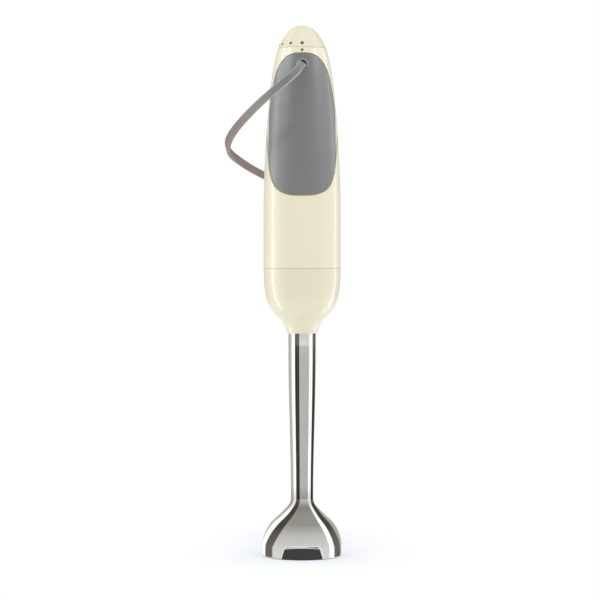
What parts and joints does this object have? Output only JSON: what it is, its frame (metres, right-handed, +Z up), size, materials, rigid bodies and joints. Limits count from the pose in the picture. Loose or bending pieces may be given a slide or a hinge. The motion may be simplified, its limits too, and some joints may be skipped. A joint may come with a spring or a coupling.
{
  "type": "immersion blender",
  "caption": "Slim hand-held immersion blender: rounded motor unit with soft rear grip, speed dial and thumb buttons on a plug-in steel leg with a notched bell guard over its blade.",
  "frame": {"origin": "centre of the foot's rim, on the surface that the blender stands on", "axes": "+Z up along the leg and motor axis; -Y is the rear, with the soft grip and the cord's exit; +Y is the front, with the buttons; +X is to the right when the rear is seen"},
  "size_m": [0.0891, 0.1898, 0.4],
  "materials": {
    "steel": "polished",
    "cream_plastic": "gloss, moulded",
    "grip_rubber": "soft touch, matt",
    "grey_plastic": "fine texture",
    "dark_plastic": "matt",
    "print_ink": "satin ink",
    "seal_rubber": "matt",
    "bronze": "sintered",
    "copper": "enamelled wire",
    "laminations": "stacked sheet",
    "zinc_steel": "zinc plated",
    "carbon": "graphite",
    "board": "solder mask",
    "aluminium": "extruded",
    "cord_jacket": "smooth flexible jacket",
    "plug_plastic": "fine texture",
    "pin_metal": "nickel plated"
  },
  "bodies": {
    "blending_leg": {"steel_leg": "steel", "leg_collar": "cream_plastic", "leg_hub": "dark_plastic", "upper_bush": "bronze", "lower_bearing_carrier": "dark_plastic", "lower_bush": "bronze", "shaft_seal": "seal_rubber", "neck_seal": "seal_rubber"},
    "blade_shaft": {"drive_rod": "zinc_steel", "leg_coupling": "dark_plastic", "blade": "steel", "blade_hub": "zinc_steel", "thrust_washer": "zinc_steel"},
    "motor_unit": {"main_housing": "cream_plastic", "rear_grip": "grip_rubber", "button_bezel": "grey_plastic", "motor_base": "dark_plastic", "base_screws": "zinc_steel", "spigot_o_ring": "seal_rubber", "stator_core": "laminations", "field_coils": "copper", "lower_bracket": "dark_plastic", "upper_bracket": "dark_plastic", "lower_bearing": "zinc_steel", "upper_bearing": "zinc_steel", "brush_holders": "dark_plastic", "carbon_brushes": "carbon", "motor_mount_ring": "seal_rubber", "motor_bolts": "zinc_steel", "chassis": "dark_plastic", "control_board": "board", "heat_sink": "aluminium", "capacitor": "dark_plastic", "speed_pot": "dark_plastic", "power_switch": "dark_plastic", "turbo_switch": "dark_plastic", "cord_gland": "dark_plastic", "cord_clamp": "dark_plastic", "clamp_screws": "zinc_steel", "index_dot": "print_ink", "power_spring": "zinc_steel", "turbo_spring": "zinc_steel", "cord": "cord_jacket", "cord_tail": "cord_jacket", "cord_hank": "cord_jacket", "plug_body": "plug_plastic", "plug_pins": "pin_metal"},
    "rotor": {"rotor_shaft": "zinc_steel", "armature_core": "laminations", "armature_windings": "copper", "commutator": "copper", "fan": "dark_plastic", "drive_dog": "dark_plastic"},
    "speed_dial": {"dial_cap": "cream_plastic", "dial_dots": "print_ink", "pot_spindle": "zinc_steel"},
    "power_button": {"power_button": "grey_plastic", "power_plunger": "dark_plastic"},
    "turbo_button": {"turbo_button": "grey_plastic", "turbo_plunger": "dark_plastic"}
  },
  "joints": [
    {"name": "motor_unit_lift", "type": "slide", "parent": "blending_leg", "child": "motor_unit", "axis": [0, 0, 1], "range_m": [0, 0.06]},
    {"name": "blade_spin", "type": "hinge", "parent": "blending_leg", "child": "blade_shaft", "pos_m": [0, 0, 0.1], "axis": [0, 0, 1], "continuous": true},
    {"name": "rotor_spin", "type": "hinge", "parent": "motor_unit", "child": "rotor", "pos_m": [0, 0, 0.25], "axis": [0, 0, 1], "continuous": true},
    {"name": "dial_turn", "type": "hinge", "parent": "motor_unit", "child": "speed_dial", "pos_m": [0, 0, 0.39], "axis": [0, 0, 1], "range_deg": [0, 120]},
    {"name": "power_press", "type": "slide", "parent": "motor_unit", "child": "power_button", "axis": [0, -1, 0], "range_m": [0, 0.0018], "stiffness_N_per_m": 900, "springref_m": -0.001, "deforming": ["power_spring"]},
    {"name": "turbo_press", "type": "slide", "parent": "motor_unit", "child": "turbo_button", "axis": [0, -1, 0], "range_m": [0, 0.0018], "stiffness_N_per_m": 900, "springref_m": -0.001, "deforming": ["turbo_spring"]}
  ],
  "couplings": [
    {"joint": "blade_spin", "follows": "rotor_spin", "ratio": 1}
  ]
}
